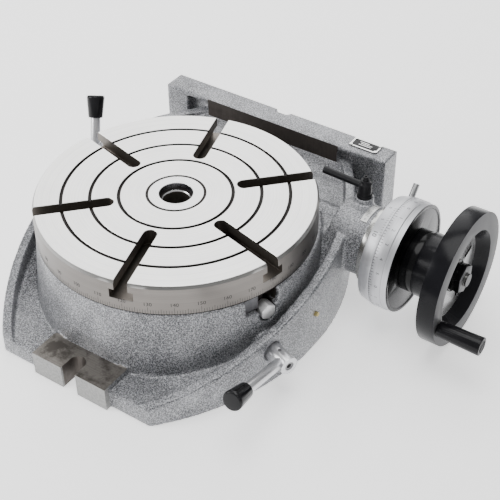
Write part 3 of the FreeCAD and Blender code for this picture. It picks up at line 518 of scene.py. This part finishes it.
def disc_rule(centre, normal):
    """Bright top, brownish rim with a bright chamfer, dark grooves and T-slots between."""
    radius = math.hypot(centre.x, centre.y)
    if centre.z > TABLE_TOP - NEAR:
        return MATERIALS["ground_iron"]
    if centre.z > RING_FLOOR and radius < RING_REACH:
        return GAP_AND_SHADE
    if radius > RIM_INSIDE:
        return EDGE_IRON if normal.z > 0.1 else RIM_IRON
    return SLOT_IRON


soften("table_disc", 0.00025, disc_rule, segments=1, angle=50, sharp=20)


def sleeve_rule(centre, normal):
    """Bright top, steel counterbore with a ledge painted dark as painted shade, bright lead-in,
    taper below painted dark as painted shade.
    """
    depth = TABLE_TOP - centre.z
    if depth < NEAR:
        return MATERIALS["centre_steel"]
    # Painted shade: the side down in the joint is painted dark.
    if math.hypot(centre.x, centre.y) > JOINT_EDGE:
        return GAP_AND_SHADE
    if depth < COUNTERBORE + NEAR:
        return BORE_STEEL if depth < COUNTERBORE - NEAR else GAP_AND_SHADE
    on_lead = depth < COUNTERBORE + LEAD and normal.z > 0.3
    return MATERIALS["centre_steel"] if on_lead else SLOT_IRON


soften("centre_sleeve", 0.0003, sleeve_rule)


def ring_strip(inner, outer, inner_z, outer_z, count=180):
    """A ring of quads between two circles about the table's axis, facing up or out."""
    form = bmesh.new()
    loops = [[form.verts.new((r * math.cos(t), r * math.sin(t), z))
              for t in (math.tau * i / count for i in range(count))]
             for r, z in ((inner, inner_z), (outer, outer_z))]
    for i in range(count):
        j = (i + 1) % count
        form.faces.new((loops[0][i], loops[1][i], loops[1][j], loops[0][j]))
    mesh = bpy.data.meshes.new("ring")
    form.to_mesh(mesh)
    form.free()
    return mesh


LINE_Z = TABLE_TOP + SKIN / 2
LINE_RADIUS = TABLE_RADIUS + 0.00003
piece("joint_line", ring_strip(0.0242, 0.0267, LINE_Z, LINE_Z), "table", "ground_iron", GAP_AND_SHADE)
# A painted shadow: a dark band on the rim's foot, where the gap between table and base lies in
# shade.
piece("rim_gap_shadow", ring_strip(LINE_RADIUS, LINE_RADIUS, 0.0826, 0.08206, 360), "table",
      "ground_iron", GAP_AND_SHADE)


# ---------------------------------------------------------------- scales and figures

def digits(text, height):
    """A flat mesh of some figures, centred, height tall."""
    curve = bpy.data.curves.new("figures", "FONT")
    curve.body = text
    curve.size = height * 1.4
    curve.align_x = "CENTER"
    curve.align_y = "CENTER"
    curve.resolution_u = 3
    thing = bpy.data.objects.new("figures", curve)
    bpy.context.scene.collection.objects.link(thing)
    return evaluated(thing)


# Long bars are cut into rows about this tall, so that they can follow a curved surface.
ROW = 0.004


def mark_mesh(marks, wrap):
    """One mesh of many flat marks: each is a mesh or a (width, height) bar, with its place
    along the scale and across it; wrap turns (along, across) into a point of the surface."""
    form = bmesh.new()
    for shape, along, across in marks:
        if isinstance(shape, tuple):
            width, height = shape
            rows = max(1, round(height / ROW))
            grid = [[form.verts.new((along + side * width / 2,
                                     across + height * row / rows, 0)) for side in (-1, 1)]
                    for row in range(rows + 1)]
            for low, high in zip(grid, grid[1:]):
                form.faces.new((low[0], low[1], high[1], high[0]))
        else:
            start = len(form.verts)
            form.from_mesh(shape)
            form.verts.ensure_lookup_table()
            for vert in form.verts[start:]:
                vert.co = (along + vert.co.x, across + vert.co.y, 0)
    for vert in form.verts:
        vert.co = wrap(vert.co.x, vert.co.y)
    bmesh.ops.recalc_face_normals(form, faces=form.faces)
    mesh = bpy.data.meshes.new("marks")
    form.to_mesh(mesh)
    form.free()
    return mesh


RIM_SKIN = TABLE_RADIUS + SKIN
RIM_MARK_Z = 0.0824
RIM_FIGURE_Z = 0.0922
RIM_ZERO = 166
ROUND = 0.05
DIAL_MARK_X = 0.17425
DIAL_FIGURE_X = 0.1811
COLLAR = dict(small_x=0.1624, small=0.0483, large_x=0.1741, mark_x=0.1705, figure_x=0.1668)
COLLAR_TEN = 39
ZERO_PLATE = dict(radius=0.033, mark_x=0.1443)


def on_rim(along, across):
    angle = along / RIM_SKIN
    return Vector((RIM_SKIN * math.cos(angle), RIM_SKIN * math.sin(angle), across))


def rim_marks():
    """One-degree marks round the table's rim, numbered every ten degrees."""
    marks = []
    for degree in range(360):
        along = RIM_SKIN * math.radians(RIM_ZERO + degree)
        length = 0.0068 if degree % 10 == 0 else 0.0054 if degree % 5 == 0 else 0.0040
        marks.append(((0.0003, length), along, RIM_MARK_Z))
        if degree % 10 == 0:
            marks.append((digits(str(degree), 0.0036), along, RIM_FIGURE_Z))
    return mark_mesh(marks, on_rim)


def on_worm_ring(radius_at):
    """Wraps marks round the worm's axis: across is x, and along is ROUND times the angle."""
    def wrap(along, across):
        radius = radius_at(across) + SKIN
        angle = along / ROUND
        return Vector((across, WORM_YZ[0] - radius * math.sin(angle),
                       WORM_YZ[1] + radius * math.cos(angle)))
    return wrap


def dial_marks():
    """Marks on the dial's band: 120 divisions, with a figure at each fifth one."""
    marks = []
    for number in range(120):
        along = ROUND * math.tau * number / 120
        length = 0.0036 if number % 5 == 0 else 0.0022
        marks.append(((0.0004, length), along, DIAL_MARK_X))
        if number % 5 == 0:
            marks.append((digits(str(number // 5 % 6), 0.0030), along, DIAL_FIGURE_X))
    return mark_mesh(marks, on_worm_ring(lambda across: DIAL_RADIUS))


def collar_radius(across):
    """The vernier collar's radius, which grows towards the dial."""
    share = (across - COLLAR["small_x"]) / (COLLAR["large_x"] - COLLAR["small_x"])
    return COLLAR["small"] + share * (DIAL_RADIUS - COLLAR["small"])


def collar_marks():
    """The vernier's marks beside the dial, back from its ten."""
    marks = []
    for number in range(13):
        along = ROUND * (math.radians(COLLAR_TEN) - math.tau * number / 131)
        marks.append(((0.0003, 0.0035 if number % 6 == 0 else 0.0022), along, COLLAR["mark_x"]))
    for text, height, angle in (("10", 0.0044, COLLAR_TEN), ("5", 0.0026, 22.5), ("0", 0.0026, 6)):
        marks.append((digits(text, height), ROUND * math.radians(angle), COLLAR["figure_x"]))
    return mark_mesh(marks, on_worm_ring(collar_radius))


def zero_marks():
    """Marks on the curved zero plate above the worm's housing."""
    marks = [((0.0006, 0.0019 if step % 2 else 0.0031), ROUND * math.radians(3 * step),
              ZERO_PLATE["mark_x"]) for step in range(-4, 5)]
    return mark_mesh(marks, on_worm_ring(lambda across: ZERO_PLATE["radius"]))


piece("zero_marks", zero_marks(), "base", "zero_plate_metal", INK)
piece("rim_scale", rim_marks(), "table", "ground_iron", INK)
piece("dial_scale", dial_marks(), "dial", "satin_chrome", INK)
piece("collar_scale", collar_marks(), "worm_sleeve", "satin_chrome", INK)


# ---------------------------------------------------------------- drive end

WHEEL = dict(rim_face=0.24, hub_face=0.229, web=(0.2252, 0.2299), web_reach=0.034)
LIP_FACE = 0.1903
# Below this height the shoe is painted dark as painted shade.
SHOE_SHADE_TOP = 0.0675


def wheel_rule(centre, normal):
    """Rim face painted grey as a painted sheen, bright hub face and dark holes in the web; the rest
    is black.
    """
    if normal.x > 0.9 and centre.x > WHEEL["rim_face"]:
        return WHEEL_FACE_SHEEN
    if normal.x > 0.9 and centre.x > WHEEL["hub_face"]:
        return HUB_SILVER
    low, high = WHEEL["web"]
    in_web = from_worm(centre) < WHEEL["web_reach"] and low < centre.x < high
    return GAP_AND_SHADE if in_web else MATERIALS["black_wheel"]


soften("handwheel", 0.0008, wheel_rule, segments=3)
soften("vernier_collar", 0.0005)


def lip_rule(centre, normal):
    """The dial's face is painted dark as a painted reflection, and the edge of its lip black."""
    if centre.x < LIP_FACE or normal.x < 0.2:
        return MATERIALS["satin_chrome"]
    return DIAL_FACE_REFLECTION if normal.x > 0.9 else MATERIALS["black_metal"]


def hub_rule(centre, normal):
    """The hub's outer face has the same painted dark reflection as the dial's."""
    return DIAL_FACE_REFLECTION if centre.x > LIP_FACE and normal.x > 0.9 else MATERIALS["black_metal"]


def nut_rule(centre, normal):
    """The nut's end face is a little lighter than its sides."""
    return NUT_FACE if normal.x > 0.6 else MATERIALS["black_metal"]


def shoe_rule(centre, normal):
    """The hooked top of the shoe is bare iron; its foot, deep in the casting's window, is painted
    dark as painted shade.
    """
    return GAP_AND_SHADE if centre.z < SHOE_SHADE_TOP else MATERIALS["shoe_iron"]


soften("graduated_dial", 0.0006, lip_rule)
soften("dial_hub", 0.0003, hub_rule)
soften("handwheel_nut", 0.0005, nut_rule)
soften("grip_axle", 0.0003, material=GRIP_SCREW)
for name, width in (("drive_spacer", 0.0006), ("grip_sleeve", 0.0012),
                    ("handwheel_washer", 0.0002), ("sleeve_turn_pin", 0.0005),
                    ("lock_lever", 0.0005), ("lock_screw", 0.0002),
                    ("eccentric_sleeve", 0.0005), ("name_plate", 0.0002)):
    soften(name, width)
for side in ("front", "rear"):
    for stem, width in (("clamp_hub_", 0.0007), ("clamp_arm_", 0.0004), ("clamp_knob_", 0.0009),
                        ("clamp_end_screws_", 0.0002)):
        soften(stem + side, width)
    soften("clamp_shoe_" + side, 0.0004, shoe_rule)
    soften("shoe_bolt_" + side, 0.0006, material=BOLT_STEEL)


# ---------------------------------------------------------------- name plate

def frame_strip(x, y, width, z):
    """A flat rectangular border that faces up; x and y are each a middle and a half length."""
    form = bmesh.new()
    corners = [(-1, -1), (1, -1), (1, 1), (-1, 1)]
    outer, inner = ([form.verts.new((x[0] + a * (x[1] - shrink), y[0] + b * (y[1] - shrink), z))
                     for a, b in corners] for shrink in (0, width))
    for i in range(4):
        j = (i + 1) % 4
        form.faces.new((outer[i], outer[j], inner[j], inner[i]))
    mesh = bpy.data.meshes.new("border")
    form.to_mesh(mesh)
    form.free()
    return mesh


NAME_PLATE = dict(x=0.0965, y=0.1644, half_x=0.0143, half_y=0.0068, top=0.10434)
piece("plate_border", frame_strip((NAME_PLATE["x"], NAME_PLATE["half_x"]),
                                  (NAME_PLATE["y"], NAME_PLATE["half_y"]), 0.0016,
                                  NAME_PLATE["top"]), "base", "plate_black", ETCHED)


def plate_marks():
    """Plain etched bars, where such a plate carries its figures."""
    rows = [(-0.0070, 0.0095, 0.0022), (-0.0052, 0.0118, 0.0001), (-0.0066, 0.0128, -0.0021)]
    marks = [((length, 0.0007), NAME_PLATE["x"] + start + length / 2, NAME_PLATE["y"] + row)
             for start, length, row in rows]
    return mark_mesh(marks, lambda along, across: Vector((along, across, NAME_PLATE["top"])))


piece("plate_marks", plate_marks(), "base", "plate_black", ETCHED)


# ---------------------------------------------------------------- camera, floor and light

CAMERA_TURN = (34.562, 39.482, -0.581)
CAMERA_PLACE = (0.5117, -0.6299, 0.7124)
FOCAL_LENGTH = 83.115


def look():
    """The photo's camera: its azimuth, height above the level and roll are in degrees."""
    azimuth, elevation, roll = (math.radians(angle) for angle in CAMERA_TURN)
    back = Vector((math.sin(azimuth) * math.cos(elevation),
                   -math.cos(azimuth) * math.cos(elevation), math.sin(elevation)))
    right = Vector((math.cos(azimuth), math.sin(azimuth), 0))
    up = back.cross(right)
    turned_right = right * math.cos(roll) + up * math.sin(roll)
    turned_up = up * math.cos(roll) - right * math.sin(roll)
    camera = bpy.data.objects.new("camera", bpy.data.cameras.new("camera"))
    bpy.context.scene.collection.objects.link(camera)
    camera.matrix_world = Matrix.Translation(CAMERA_PLACE) @ Matrix(
        (turned_right, turned_up, back)).transposed().to_4x4()
    camera.data.lens = FOCAL_LENGTH
    camera.data.sensor_width = 36
    camera.data.clip_start = 0.01
    bpy.context.scene.camera = camera


def area_light(name, place, size, watts, aim=(0, 0, 0.05)):
    """A square softbox that points at the object."""
    data = bpy.data.lights.new(name, "AREA")
    data.energy = watts
    data.shape = "RECTANGLE"
    data.size = size
    data.size_y = size
    light = bpy.data.objects.new(name, data)
    bpy.context.scene.collection.objects.link(light)
    light.location = place
    toward = Vector(aim) - Vector(place)
    light.rotation_euler = toward.to_track_quat("-Z", "Y").to_euler()


def studio():
    """A pale floor, an even white world and three softboxes."""
    floor_mesh = bpy.data.meshes.new("floor")
    form = bmesh.new()
    bmesh.ops.create_grid(form, x_segments=2, y_segments=2, size=4)
    form.to_mesh(floor_mesh)
    form.free()
    floor = bpy.data.objects.new("floor", floor_mesh)
    bpy.context.scene.collection.objects.link(floor)
    floor.location.z = -0.0002
    n = Nodes("floor", (0.95, 0.95, 0.95), 0.0, 0.9, Emission_Color=(1, 1, 1, 1),
              Emission_Strength=0.9)
    paint(floor, n.material)
    world = bpy.data.worlds.new("studio")
    world.use_nodes = True
    world.node_tree.nodes["Background"].inputs["Color"].default_value = (1, 1, 1, 1)
    world.node_tree.nodes["Background"].inputs["Strength"].default_value = 0.42
    bpy.context.scene.world = world
    area_light("back_softbox", (-0.75, 1.05, 1.15), 1.5, 20)
    area_light("top_softbox", (0.1, -0.1, 1.7), 1.1, 18)
    area_light("left_softbox", (-1.25, -0.95, 0.85), 1.0, 21)


studio()
look()
